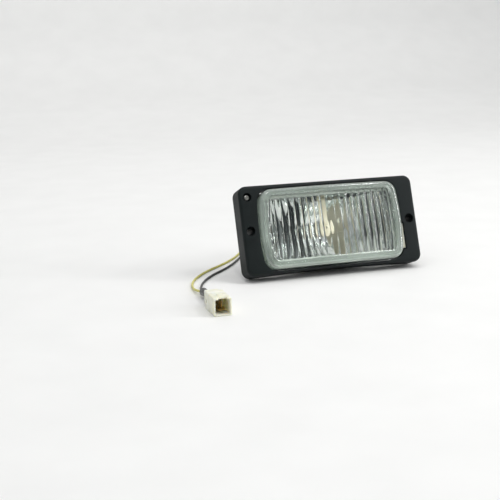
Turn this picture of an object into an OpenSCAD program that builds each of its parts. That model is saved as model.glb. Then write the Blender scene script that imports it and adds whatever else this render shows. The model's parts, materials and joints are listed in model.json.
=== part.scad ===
// Rectangular front fog light with an H3 bulb, its rubber boot fitted and its two-wire lead.
// It stands as it does on a bench: leaning back on the bezel's lower rear edge and the boot's end.
// Each sub-part is drawn upright, front towards -Y and face centre at the origin, and stand() leans it.

/* [Bezel] */
// Overall width of the bezel
bezel_w = 182; // [150:1:220]
// Overall height of the bezel
bezel_h = 88; // [70:1:110]
// Depth of the bezel from its face to its rear rim
bezel_d = 22; // [16:1:30]
// Corner radius of the bezel
bezel_r = 8; // [4:0.5:14]
// Width of the rounding round the face
face_round = 3; // [1:0.5:4]
// How far the lower edge arches up in the middle
lower_arch = 2.2; // [0:0.1:3]
// Wall thickness of the bezel
bezel_wall = 2.5; // [1.5:0.1:4]
// Gap between the lens and the bezel opening
lens_gap = 1.2; // [0.8:0.1:2]

/* [Fixing] */
// Distance of each fixing hole from the middle
hole_x = 83; // [70:0.5:100]
// Radius of the fixing holes
hole_r = 2.75; // [2:0.05:4]
// Radius of the counterbores
counterbore_r = 4.5; // [3.5:0.1:6]
// Depth of the counterbores
counterbore_d = 5; // [2:0.5:8]

/* [Lens and reflector] */
// Half width of the lens at mid height
lens_hw = 73; // [60:0.5:90]
// Half height of the lens
lens_hh = 38.8; // [30:0.1:50]
// How much narrower each side is at the top and bottom
lens_bow = 3; // [0:0.5:6]
// Corner radius of the lens
lens_r = 12; // [5:0.5:20]
// How far the lens stands out of the bezel
lens_proud = 8; // [3:0.5:12]
// Radius of the lens face, which curves from side to side
lens_dome = 800; // [400:50:2000]
// Glass thickness
glass_t = 3.5; // [2.5:0.1:6]
// Number of vertical flutes inside the lens
flutes = 19; // [9:1:31]
// Focal length of the reflector
focal = 21; // [15:0.5:30]
// Depth of the reflector's deepest point behind the bezel face
apex_y = 58; // [50:1:75]

/* [Aim adjuster] */
// Height of the tilt pivots, measured from the lamp's centre line
pivot_z = -17; // [-30:1:0]
// Depth of the tilt pivots behind the bezel face
pivot_y = 16.5; // [10:0.5:18]
// Radius of the pivot pins
pivot_r = 2.5; // [1.5:0.1:4]
// Distance of the adjuster screw from the middle
screw_x = 82.5; // [75:0.5:100]
// Height of the adjuster screw
screw_z = 33; // [20:0.5:36]
// Thread radius of the adjuster screw
screw_r = 2.4; // [1.5:0.1:4]

/* [Boot and lead] */
// Radius of the boot's flange
flange_r = 28.5; // [24:0.5:32]
// Radius of the boot's body beside its flange
boot_r = 16.8; // [14:0.1:20]
// Radius of the boot's closed end
boot_end_r = 11.5; // [9:0.5:14]
// Radius of each wire
wire_r = 1.1; // [0.8:0.05:1.6]
// Radius of the sleeve over the two wires
sleeve_r = 3.8; // [3:0.1:5]
// Length of the sleeve
sleeve_l = 28; // [15:1:40]
// Side of the square connector
plug_side = 16; // [12:0.5:20]
// Length of the connector
plug_l = 38; // [28:1:50]

/* [Hidden] */
$fn = 48;
lean = 20;
opening_hw = lens_hw + lens_gap;
opening_hh = lens_hh + lens_gap;
seat_y = apex_y + 2.3;             // front of the bulb seat plate
neck_y = 63.5;                     // end of the neck that the boot grips
neck_r = 24;
boss_y = 57.5;                     // flat ring that the boot's flange bears on
flange_y = 64;                     // rear of the flange
screw_boss_y = 11;
shelf = lens_hh - 8;               // half height of the reflector's flat top and bottom
nut_y = 15.5;
clip_z = 10.5;
boot_y = bezel_d + (bezel_h / 2 - boot_end_r) / tan(lean);  // both rest points reach the bench
stub_y = boot_y + 2;               // end of the two wire nipples
stub_x = 4;
rest_z = bezel_h / 2 * cos(lean) + bezel_d * sin(lean);
rest_y = 43.86;                    // moves the middle of the depth to the origin
plug_x = -142;                     // the connector lies on the bench, mouth towards -Y
plug_y = -112;
sleeve_tilt = 6;
sleeve_end = [plug_x, plug_y + sleeve_l * cos(sleeve_tilt), plug_side / 2 - sleeve_l * sin(sleeve_tilt)];

// Where a point of the upright lamp is once it leans
function leaned(p) = [p[0], p[1] * cos(lean) + p[2] * sin(lean) - rest_y,
                      p[2] * cos(lean) - p[1] * sin(lean) + rest_z];

// Route of each wire, from its nipple on the boot to the sleeve
black_route = concat(
    [leaned([-stub_x, stub_y, 1]), leaned([-stub_x, stub_y + 4, 1])],
    [[-4.6, 73, 6.6], [-8, 80, 4.2], [-14, 86, 2.4], [-22, 89.5, 1.5], [-31, 89, 1.3], [-40, 84.5, 1.2],
     [-49, 76, 1.2], [-58, 64, 1.2], [-67, 50, 1.2], [-76, 35, 1.2], [-86, 20, 1.2], [-97, 6, 1.2],
     [-109, -7, 1.2], [-120, -21, 1.2], [-129, -36, 1.2], [-135, -50, 1.3], [-138.6, -62, 1.9],
     [-140.2, -72, 3.2]],
    [[plug_x + 1.4, -81, 4.7], [plug_x + 1.4, sleeve_end[1] - 2, sleeve_end[2] + 0.2]]);
yellow_route = concat(
    [leaned([stub_x, stub_y, 1]), leaned([stub_x, stub_y + 4, 1])],
    [[3.6, 74, 6.4], [1, 83, 4], [-5, 91.5, 2.2], [-14, 97.5, 1.4], [-25, 99.5, 1.2], [-36, 96, 1.2],
     [-47, 88, 1.2], [-57, 77, 1.2], [-65, 64, 1.2], [-74, 50, 1.2], [-85, 36, 1.2], [-98, 22, 1.2],
     [-112, 8, 1.2], [-125, -8, 1.2], [-136, -26, 1.2], [-142.5, -44, 1.3], [-144.6, -58, 1.8],
     [-144.6, -70, 3]],
    [[plug_x - 1.4, -81, 4.6], [plug_x - 1.4, sleeve_end[1] - 2, sleeve_end[2] + 0.2]]);

// Colours
black_plastic = [0.14, 0.16, 0.17];
clear_glass = [0.78, 0.84, 0.80, 0.35];
mirror_metal = [0.86, 0.88, 0.88];
zinc = [0.70, 0.71, 0.70];
black_rubber = [0.19, 0.20, 0.20];
natural_nylon = [0.92, 0.92, 0.84];
brass = [0.62, 0.47, 0.25];
cream = [0.90, 0.87, 0.76];

// Leans an upright piece back and sets it on the bench
module stand() translate([0, -rest_y, rest_z]) rotate([-lean, 0, 0]) children();

// Turns +Z into +Y, for everything round that lies along the lamp's axis
module along_y() rotate([-90, 0, 0]) children();

// A cylinder along the lamp's axis, from one depth to another
module rod_y(x, z, y0, y1, r) translate([x, y0, z]) along_y() cylinder(h = y1 - y0, r = r);

// A tapered cylinder along the lamp's axis
module cone_y(y0, y1, r0, r1) translate([0, y0, 0]) along_y() cylinder(h = y1 - y0, r1 = r0, r2 = r1);

// A cylinder across the lamp
module rod_x(x0, x1, y, z, r) translate([x0, y, z]) rotate([0, 90, 0]) cylinder(h = x1 - x0, r = r);

// A flat outline in X and Z, drawn from one depth to another
module slab(y0, y1) translate([0, y1, 0]) rotate([90, 0, 0]) linear_extrude(y1 - y0) children();

// A box given by its two corners
module block(a, b) translate(a) cube(b - a);

// A rectangle with round corners
module round_rect(w, h, r) {
    square([w - 2 * r, h], center = true);
    square([w, h - 2 * r], center = true);
    for (x = [-1, 1], z = [-1, 1]) translate([x * (w / 2 - r), z * (h / 2 - r)]) circle(r);
}

// The lens outline, grown by g: round corners and sides that bow outwards
module bowed_rect(g) {
    hw = lens_hw + g;
    hh = lens_hh + g;
    r = lens_r + g;
    side = hw - lens_bow * pow((hh - r) / hh, 2);
    right = concat([for (a = [-90:15:-15]) [side - r + r * cos(a), r - hh + r * sin(a)]],
                   [for (z = [-4:4]) let (h = z / 4 * (hh - r)) [hw - lens_bow * pow(h / hh, 2), h]],
                   [for (a = [15:15:90]) [side - r + r * cos(a), hh - r + r * sin(a)]]);
    polygon(concat(right, [for (p = right) [-p[0], -p[1]]]));
}

// The solid bowl inside a paraboloid whose deepest point is at depth y
module bowl(y, hw, hh, front) intersection() {
    along_y() rotate_extrude($fn = 96) polygon(concat([[0, 8]],
        [for (r = [90:-9:0]) [r, max(8, y - r * r / (4 * focal))]]));
    block([-hw, front, -hh], [hw, y + 1, hh]);
}

module bezel() color(black_plastic) stand() difference() {
    union() {
        slab(face_round, bezel_d) round_rect(bezel_w, bezel_h, bezel_r);
        hull() {
            slab(face_round, face_round + 0.1) round_rect(bezel_w, bezel_h, bezel_r);
            slab(face_round * 0.3, face_round * 0.3 + 0.1)
                round_rect(bezel_w - face_round * 0.6, bezel_h - face_round * 0.6, bezel_r - face_round * 0.3);
            slab(0, 0.1) round_rect(bezel_w - face_round * 2, bezel_h - face_round * 2, bezel_r - face_round);
        }
    }
    slab(-1, bezel_d + 1) bowed_rect(lens_gap);
    // the arched lower edge
    arch_r = (pow(bezel_w * 0.44, 2) + pow(lower_arch, 2)) / (2 * lower_arch);
    translate([0, -1, lower_arch - bezel_h / 2 - arch_r]) along_y() cylinder(h = bezel_d + 2, r = arch_r, $fn = 360);
    // hollow backs of the two ears, left solid round the bosses
    for (s = [-1, 1]) difference() {
        block([s < 0 ? bezel_wall - bezel_w / 2 : opening_hw + bezel_wall, 3, bezel_wall + 0.5 - bezel_h / 2],
              [s < 0 ? -opening_hw - bezel_wall : bezel_w / 2 - bezel_wall, bezel_d + 1, bezel_h / 2 - bezel_wall]);
        rod_y(s * hole_x, 0, 2, bezel_d + 2, 6.2);
        rod_x(s < 0 ? -opening_hw - 7 : opening_hw + 2, s < 0 ? -opening_hw - 2 : opening_hw + 7,
              pivot_y, pivot_z, pivot_r + 2.5);
        if (s < 0) rod_y(-screw_x, screw_z, 2, screw_boss_y, 5.4);
    }
    for (s = [-1, 1]) {
        rod_y(s * hole_x, 0, -1, bezel_d + 1, hole_r);
        rod_y(s * hole_x, 0, -1, counterbore_d, counterbore_r);
        // the pocket for each pivot clip and the hole for its pin
        block([s * 74.1 - 2.1, s < 0 ? 5 : -1, pivot_z - 13.5], [s * 74.1 + 2.1, bezel_d + 1, pivot_z + 13.5]);
        rod_x(s < 0 ? -opening_hw - 8 : opening_hw - 1, s < 0 ? -opening_hw + 1 : opening_hw + 8,
              pivot_y, pivot_z, pivot_r + 0.05);
    }
    rod_y(-screw_x, screw_z, -1, screw_boss_y + 1, screw_r + 0.1);
    rod_y(-screw_x, screw_z, -1, 4.5, 4.2);
    // the way in for the lug that holds the adjuster nut
    block([-opening_hw - bezel_wall - 2, screw_boss_y + 1, screw_z - 9], [-opening_hw + 10, bezel_d + 1, screw_z + 6.5]);
    // small notch in the top edge of the opening
    block([-3, -1, opening_hh - 1], [3, 5, opening_hh + 1.2]);
}

module pivot_clips() color(natural_nylon) stand() for (s = [-1, 1]) {
    block([s * 74.35 - 1.15, s < 0 ? 8 : 1.5, pivot_z - 12.2], [s * 74.35 + 1.15, 20, pivot_z + 12.2]);
    block([s * 72.2 - 1.2, 10.2, pivot_z - 10], [s * 72.2 + 1.2, 15.8, pivot_z + 10]);
    rod_x(s < 0 ? -opening_hw - 6.6 : 75, s < 0 ? -75 : opening_hw + 6.6, pivot_y, pivot_z, pivot_r);
}

// Pan head with a cross recess, and the shank that runs back through the bezel's boss to the nut
module adjuster_screw() color(zinc) stand() difference() {
    union() {
        rod_y(-screw_x, screw_z, 2, 4.3, 3);
        rod_y(-screw_x, screw_z, 4, 34, screw_r);
    }
    for (a = [0, 90]) translate([-screw_x, 1, screw_z]) rotate([0, a, 0]) block([-1.9, 0, -0.4], [1.9, 2.6, 0.4]);
}

module screw_washer() color(zinc) stand() difference() {
    rod_y(-screw_x, screw_z, screw_boss_y + 0.3, screw_boss_y + 1.3, 4.6);
    rod_y(-screw_x, screw_z, screw_boss_y, screw_boss_y + 2, screw_r);
}

module adjuster_nut() color(natural_nylon) stand() difference() {
    union() {
        block([-screw_x - 4.2, nut_y, screw_z - 4.2], [-screw_x + 4.2, nut_y + 6.5, screw_z + 4.2]);
        block([-screw_x - 5, nut_y + 5, screw_z - 5], [-screw_x + 5, nut_y + 6.5, screw_z + 5]);
    }
    rod_y(-screw_x, screw_z, nut_y - 1, nut_y + 8, screw_r + 0.5);
}

// Depth of the lens face at one x: it curves back towards the sides
function face_y(x) = x * x / (2 * lens_dome) - lens_proud;

// Everything more than a depth d behind the lens face
module behind_face(d) translate([0, 0, -lens_hh - 1]) linear_extrude(2 * lens_hh + 2) polygon(concat(
    [[lens_hw + 1, 9], [-lens_hw - 1, 9]],
    [for (i = [-8:8]) let (x = i / 8 * (lens_hw + 1)) [x, face_y(x) + d]]));

module lens() color(clear_glass) stand() difference() {
    intersection() {
        slab(-lens_proud, 8) bowed_rect(0);
        behind_face(0);
    }
    intersection() {
        slab(-lens_proud, 9) bowed_rect(-3.5);
        behind_face(glass_t);
    }
    // vertical flutes in the inner face, shallow in front of the bulb
    for (i = [0:flutes - 1]) let (x = (i - (flutes - 1) / 2) * 6.8, depth = abs(x) < 12 ? 0.4 : 1.1)
        translate([x, face_y(x) + glass_t + 5.2 - depth, -31]) cylinder(h = 62, r = 5.2);
}

// Pale bead that bonds the lens and shows through its rim
module lens_seal() color([0.66, 0.70, 0.66]) stand() difference() {
    slab(8, 10) bowed_rect(-0.4);
    slab(7, 11) bowed_rect(-7);
}

module reflector() color(mirror_metal) stand() difference() {
    bowl(apex_y + 2, lens_hw - 5, shelf + 1.2, 10.5);
    bowl(apex_y, lens_hw - 6.5, shelf, 9);
    rod_y(0, 0, apex_y - 5, apex_y + 5, 6.6);
}

// Outer shell behind the lens, with the neck for the boot and the lug for the adjuster nut
module rear_housing() color(black_plastic) stand() difference() {
    union() {
        slab(10, 16) bowed_rect(0);
        bowl(apex_y + 5, lens_hw - 1.5, shelf + 3, 12);
        rod_y(0, 0, 40, boss_y, 29);
        rod_y(0, 0, 50, neck_y, neck_r);
        block([-screw_x - 5, nut_y, screw_z - 7], [-60, nut_y + 5, screw_z + 4.9]);
    }
    bowl(apex_y + 2, lens_hw - 5, shelf + 1.2, 9);
    rod_y(0, 0, seat_y, neck_y + 1, 20.5);
    rod_y(0, 0, 55, neck_y + 1, 8);
    block([-screw_x - 4.2, nut_y - 1, screw_z - 4.2], [-screw_x + 4.2, nut_y + 6, screw_z + 4.2]);
    // flats for the feet of the pivot clips
    for (s = [-1, 1]) block([s * 73 - 2, 9, pivot_z - 11], [s * 73 + 2, 17, pivot_z + 11]);
}

// Disc in front of the bulb on a strap from the upper shelf of the reflector
module glare_shield() color(cream) stand() difference() {
    union() {
        rod_y(0, 0, 21, 22, 9);
        block([-5, 21, 5], [5, 22, shelf]);
        block([-5, 21, shelf - 1], [5, 33, shelf]);
    }
    rod_y(0, 0, 20, 23, 1.4);
}

module shield_rivets() color(zinc) stand() for (y = [26, 30])
    translate([0, y, shelf - 1.7]) cylinder(h = 0.7, r = 1.6);

module bulb_seat() color(zinc) stand() difference() {
    union() {
        rod_y(0, 0, seat_y, seat_y + 1.5, 20.3);
        for (s = [-1, 1]) block([s * 7.6 - 0.6, seat_y + 1, 9], [s * 7.6 + 0.6, seat_y + 5, 12]);
        block([11, seat_y + 1, -3.2], [11.8, seat_y + 10, 3.2]);
    }
    rod_y(0, 0, seat_y - 1, seat_y + 3, 6.6);
    rod_x(-12, 12, seat_y + 3.5, clip_z, 0.75);
}

module seat_screws() color(zinc) stand() for (a = [30, 150, 270])
    rod_y(15.6 * cos(a), 15.6 * sin(a), seat_y + 1.5, seat_y + 2.7, 2.4);

module bulb_base() color(zinc) stand() {
    rod_y(0, 0, seat_y - 2, seat_y + 1.6, 6.2);
    rod_y(0, 0, seat_y + 1.5, seat_y + 2.5, 9);
    rod_y(0, 0, seat_y + 2.4, seat_y + 6.5, 4.6);
}

module bulb_glass() color(clear_glass) stand() difference() {
    union() {
        rod_y(0, 0, seat_y - 21, seat_y - 2, 5.4);
        translate([0, seat_y - 21, 0]) sphere(5.4);
    }
    union() {
        rod_y(0, 0, seat_y - 21, seat_y - 5, 4.5);
        translate([0, seat_y - 21, 0]) sphere(4.5);
    }
}

module bulb_filament() color(zinc) stand() {
    rod_x(-2.6, 2.6, seat_y - 18, 0, 0.6);
    for (s = [-1, 1]) rod_y(s * 2.4, 0, seat_y - 18, seat_y - 5, 0.35);
}

// The bulb's own short tail and its spade
module bulb_lead() color(black_rubber) stand() {
    swept([[0, seat_y + 6.5, 0], [0, 71, 0], [-1, 75, 0.3], [-3, 79, 0.7], [-4, 84, 0.9]], 1.2);
    block([-stub_x - 3.1, 83.5, 0.5], [-stub_x + 3.1, 95, 1.3]);
}

// Bent spring wire: a hinge bar, two legs over the bulb's flange and a hooked end
module bulb_clip() color(zinc) stand() {
    bar_y = seat_y + 3.5;
    rod_x(-8.7, 8.7, bar_y, clip_z, 0.7);
    for (s = [-1, 1]) translate([s * 5.8, bar_y, -8]) cylinder(h = clip_z + 8, r = 0.7);
    rod_x(-5.8, 5.8, bar_y, -8, 0.7);
}

module boot() color(black_rubber) stand() difference() {
    union() {
        rod_y(0, 0, boss_y, flange_y, flange_r);
        cone_y(flange_y - 1, boot_y, boot_r, boot_end_r);
        slab(flange_y - 3, flange_y) {
            translate([0, flange_r + 4]) circle(8);
            translate([-6, flange_r - 5]) square([12, 7]);
        }
        for (s = [-1, 1]) rod_y(s * stub_x, 1, boot_y - 1, stub_y, 2.3);
    }
    rod_y(0, 0, boss_y - 1, neck_y, neck_r);
    rod_y(0, 0, boss_y, neck_y + 0.1, 14.9);
    cone_y(neck_y, boot_y - 3, 14.9, 9.4);
    for (s = [-1, 1]) rod_y(s * stub_x, 1, boot_y - 4, stub_y + 1, wire_r);
}

// A push-on spade receptacle: its slot opens towards -Y and its crimp points to +Y
module receptacle() {
    difference() {
        block([-3.6, 0, -1.2], [3.6, 9, 1.2]);
        block([-3.2, -1, -0.6], [3.2, 8, 0.6]);
    }
    rod_y(0, 0, 8.5, 13, 1.6);
}

// On the bulb's spade, its wire end running out through the boot
module feed_terminal() color(brass) stand() {
    translate([-stub_x, 89, 0.9]) receptacle();
    rod_y(-stub_x, 1, 101, stub_y, wire_r);
}

// On the seat's earth tab, its wire end bending over to the other nipple
module earth_terminal() color(brass) stand() {
    translate([11.4, seat_y + 4, 0]) rotate([0, 90, 0]) receptacle();
    swept([[11.4, seat_y + 16, 0], [11.2, 81, 0], [9.6, 86, 0.2], [7, 91, 0.5], [5, 96, 0.8], [4, 101, 1],
           [4, 104, 1]], wire_r * 0.85);
    rod_y(stub_x, 1, 102, stub_y, wire_r);
}

// Unit vector along a vector
function unit(v) = v / norm(v);

// A round tube swept along a route, its rings turned with the route
module swept(route, r, sides = 8) {
    last = len(route) - 1;
    frames = [for (i = 0, t = unit(route[1] - route[0]), a = unit(cross([0, 0, 1], t)); i <= last;
                   i = i + 1,
                   t = i > last ? t : unit(route[min(i + 1, last)] - route[i - 1]),
                   a = unit(a - (a * t) * t)) [a, cross(t, a)]];
    points = [for (i = [0:last], k = [0:sides - 1])
        route[i] + r * cos(360 * k / sides) * frames[i][0] + r * sin(360 * k / sides) * frames[i][1]];
    faces = concat([[for (k = [0:sides - 1]) k]], [[for (k = [sides - 1:-1:0]) last * sides + k]],
        [for (i = [0:last - 1], k = [0:sides - 1])
            [i * sides + k, (i + 1) * sides + k, (i + 1) * sides + (k + 1) % sides, i * sides + (k + 1) % sides]]);
    polyhedron(points, faces, convexity = 10);
}

module wire_black() color(black_rubber) swept(black_route, wire_r);

module wire_yellow() color([0.79, 0.76, 0.42]) swept(yellow_route, wire_r);

module wire_sleeve() color(black_rubber) difference() {
    translate([plug_x, plug_y, plug_side / 2]) rotate([-sleeve_tilt, 0, 0]) along_y() cylinder(h = sleeve_l, r = sleeve_r);
    translate([plug_x, plug_y, plug_side / 2]) rotate([-sleeve_tilt, 0, 0]) along_y()
        translate([0, 0, sleeve_l - 4]) cylinder(h = 5, r = 2.9);
}

// Square two-way housing, open towards -Y, with a latch ramp and a narrower wire end
module connector_housing() color(natural_nylon) translate([plug_x, plug_y, plug_side / 2]) difference() {
    h = plug_side / 2;
    union() {
        block([-h, -plug_l, -h], [h, -9, h]);
        block([-h + 1.5, -9.5, -h + 1.5], [h - 1.5, 0, h - 1.5]);
        block([-2.5, -plug_l + 6, h - 0.5], [2.5, -plug_l + 12, h + 1.4]);
    }
    block([-h + 1.4, -plug_l - 1, -h + 1.4], [h - 1.4, -17, h - 1.4]);
    block([-4, -plug_l - 1, h - 3], [4, -plug_l + 3, h + 2]);
}

module blade_flat() color(brass) translate([plug_x, plug_y, plug_side / 2])
    block([-3.15, -plug_l + 4, -3.9], [3.15, -17, -3.1]);

module blade_upright() color(brass) translate([plug_x, plug_y, plug_side / 2])
    block([-0.4, -plug_l + 4, -1.6], [0.4, -17, 4.7]);

bezel();
pivot_clips();
adjuster_screw();
screw_washer();
adjuster_nut();
lens();
lens_seal();
reflector();
rear_housing();
glare_shield();
shield_rivets();
bulb_seat();
seat_screws();
bulb_base();
bulb_glass();
bulb_filament();
bulb_lead();
bulb_clip();
boot();
feed_terminal();
earth_terminal();
wire_black();
wire_yellow();
wire_sleeve();
connector_housing();
blade_flat();
blade_upright();
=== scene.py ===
import json
import math

import bmesh
import bpy
from mathutils import Matrix, Vector


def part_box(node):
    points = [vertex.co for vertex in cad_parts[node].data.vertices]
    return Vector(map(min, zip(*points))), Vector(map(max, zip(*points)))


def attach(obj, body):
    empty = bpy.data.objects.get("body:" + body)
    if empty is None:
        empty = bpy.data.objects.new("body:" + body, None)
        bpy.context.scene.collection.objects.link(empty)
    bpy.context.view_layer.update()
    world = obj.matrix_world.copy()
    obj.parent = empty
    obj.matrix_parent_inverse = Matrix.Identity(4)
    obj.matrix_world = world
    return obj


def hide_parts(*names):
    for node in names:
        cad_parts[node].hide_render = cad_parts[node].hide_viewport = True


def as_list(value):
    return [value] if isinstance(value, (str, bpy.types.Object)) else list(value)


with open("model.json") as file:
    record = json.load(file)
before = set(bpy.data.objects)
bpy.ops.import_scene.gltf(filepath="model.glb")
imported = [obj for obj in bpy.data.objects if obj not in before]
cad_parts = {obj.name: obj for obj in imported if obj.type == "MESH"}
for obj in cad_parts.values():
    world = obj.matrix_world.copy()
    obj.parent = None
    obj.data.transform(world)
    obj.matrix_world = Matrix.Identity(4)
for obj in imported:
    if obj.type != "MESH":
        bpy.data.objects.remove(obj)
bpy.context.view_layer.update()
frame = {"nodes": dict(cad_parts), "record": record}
cadNodes = frame["nodes"]
mm = 0.001

# The lamp leans back, so its pieces are made upright in millimetres, front towards -Y with the middle
# of the face at the origin, and lampPlace takes them to where the fixing holes say the lamp is.
mounts = {mount["name"]: mount for mount in frame["record"]["mounts"]}
holeLeft = Vector(mounts["fixing_hole_left"]["pos_m"])
holeRight = Vector(mounts["fixing_hole_right"]["pos_m"])
frontWay = Vector(mounts["fixing_hole_left"]["axis"]).normalized()
acrossWay = (holeRight - holeLeft).normalized()
upWay = acrossWay.cross(-frontWay)
boreMiddle = 13.5  # the holes' given points lie this far behind the face
faceMiddle = (holeLeft + holeRight) / 2 + frontWay * boreMiddle * mm
lampPlace = Matrix((
    (acrossWay.x, -frontWay.x, upWay.x, faceMiddle.x),
    (acrossWay.y, -frontWay.y, upWay.y, faceMiddle.y),
    (acrossWay.z, -frontWay.z, upWay.z, faceMiddle.z),
    (0, 0, 0, 1),
)) @ Matrix.Scale(mm, 4)
plugLow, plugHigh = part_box("connector_housing")
plugHeight = 8
plugMiddle = ((plugLow.x + plugHigh.x) / 2, plugHigh.y, plugHeight * mm)
plugPlace = Matrix.Translation(plugMiddle) @ Matrix.Scale(mm, 4)

view = {
    "place": (-0.3584, -0.9378, 0.2414),
    "yaw": 17.04,
    "pitch": -12.71,
    "roll": -1.27,
    "focal": 72.0,
}


def makeCamera():
    data = bpy.data.cameras.new("camera")
    data.lens = view["focal"]
    data.sensor_width = 36
    data.clip_start = 0.05
    data.clip_end = 30
    camera = bpy.data.objects.new("camera", data)
    bpy.context.scene.collection.objects.link(camera)
    turn = Matrix.Rotation(math.radians(-view["yaw"]), 4, "Z")
    tip = Matrix.Rotation(math.radians(90 + view["pitch"]), 4, "X")
    roll = Matrix.Rotation(math.radians(view["roll"]), 4, "Z")
    camera.matrix_world = Matrix.Translation(view["place"]) @ turn @ tip @ roll
    bpy.context.scene.camera = camera


makeCamera()
print("camera placed")

# Points of each wire's route after it leaves its nipple, in millimetres in the part's own frame
leads = {
    "radius": 1.1,
    "nippleSide": 4,
    "nippleEnd": 113.293,
    "nippleHeight": 1,
    "black": [(-4.6, 73, 6.6), (-8, 80, 4.2), (-14, 86, 2.4), (-22, 89.5, 1.5), (-31, 89, 1.3),
              (-40, 84.5, 1.2), (-49, 76, 1.2), (-58, 64, 1.2), (-67, 50, 1.2), (-76, 35, 1.2),
              (-86, 20, 1.2), (-97, 6, 1.2), (-109, -7, 1.2), (-120, -21, 1.2), (-129, -36, 1.2),
              (-135, -50, 1.3), (-138.6, -62, 1.9), (-140.2, -72, 3.2), (-140.6, -81, 4.7),
              (-140.6, -86.2, 5.3), (-140.6, -99, 6.6), (-140.6, -111, 7.9)],
    "yellow": [(3.6, 74, 6.4), (1, 83, 4), (-5, 91.5, 2.2), (-14, 97.5, 1.4), (-25, 99.5, 1.2),
               (-36, 96, 1.2), (-47, 88, 1.2), (-57, 77, 1.2), (-65, 64, 1.2), (-74, 50, 1.2),
               (-85, 36, 1.2), (-98, 22, 1.2), (-112, 8, 1.2), (-125, -8, 1.2), (-136, -26, 1.2),
               (-142.5, -44, 1.3), (-144.6, -58, 1.8), (-144.6, -70, 3), (-143.4, -81, 4.6),
               (-143.4, -86.2, 5.3), (-143.4, -99, 6.6), (-143.4, -111, 7.9)],
}


def makeWire(name, side, route):
    straight = (0, 4)  # the wire leaves its nipple straight
    start = [Vector((side * leads["nippleSide"], leads["nippleEnd"] + step, leads["nippleHeight"]))
             for step in straight]
    points = [lampPlace @ point for point in start] + [Vector(point) * mm for point in route]
    data = bpy.data.curves.new(name, "CURVE")
    data.dimensions = "3D"
    data.bevel_depth = leads["radius"] * mm
    data.bevel_resolution = 5
    data.resolution_u = 10
    data.use_fill_caps = True
    spline = data.splines.new("BEZIER")
    spline.bezier_points.add(len(points) - 1)
    for knot, point in zip(spline.bezier_points, points):
        knot.co = point
        knot.handle_left_type = "AUTO"
        knot.handle_right_type = "AUTO"
    wire = bpy.data.objects.new(name, data)
    bpy.context.scene.collection.objects.link(wire)
    length = sum((b - a).length for a, b in zip(points, points[1:]))
    return wire, points[0], length


blackWire, blackExit, blackLength = makeWire("black_wire", -1, leads["black"])
yellowWire, yellowExit, yellowLength = makeWire("yellow_wire", 1, leads["yellow"])
print("leads laid,", round(blackLength, 3), "and", round(yellowLength, 3), "m")


def toLinear(hexColour):
    channels = [int(hexColour[i:i + 2], 16) / 255 for i in (1, 3, 5)]
    return [c / 12.92 if c <= 0.04045 else ((c + 0.055) / 1.055) ** 2.4 for c in channels] + [1.0]


# Adds one node, with its settings, and its inputs as values or as links from other sockets
def addNode(tree, kind, settings=None, inputs=None):
    node = tree.nodes.new(kind)
    for key, value in (settings or {}).items():
        setattr(node, key, value)
    for key, value in (inputs or {}).items():
        if isinstance(value, bpy.types.NodeSocket):
            tree.links.new(value, node.inputs[key])
        else:
            node.inputs[key].default_value = value
    return node


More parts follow.
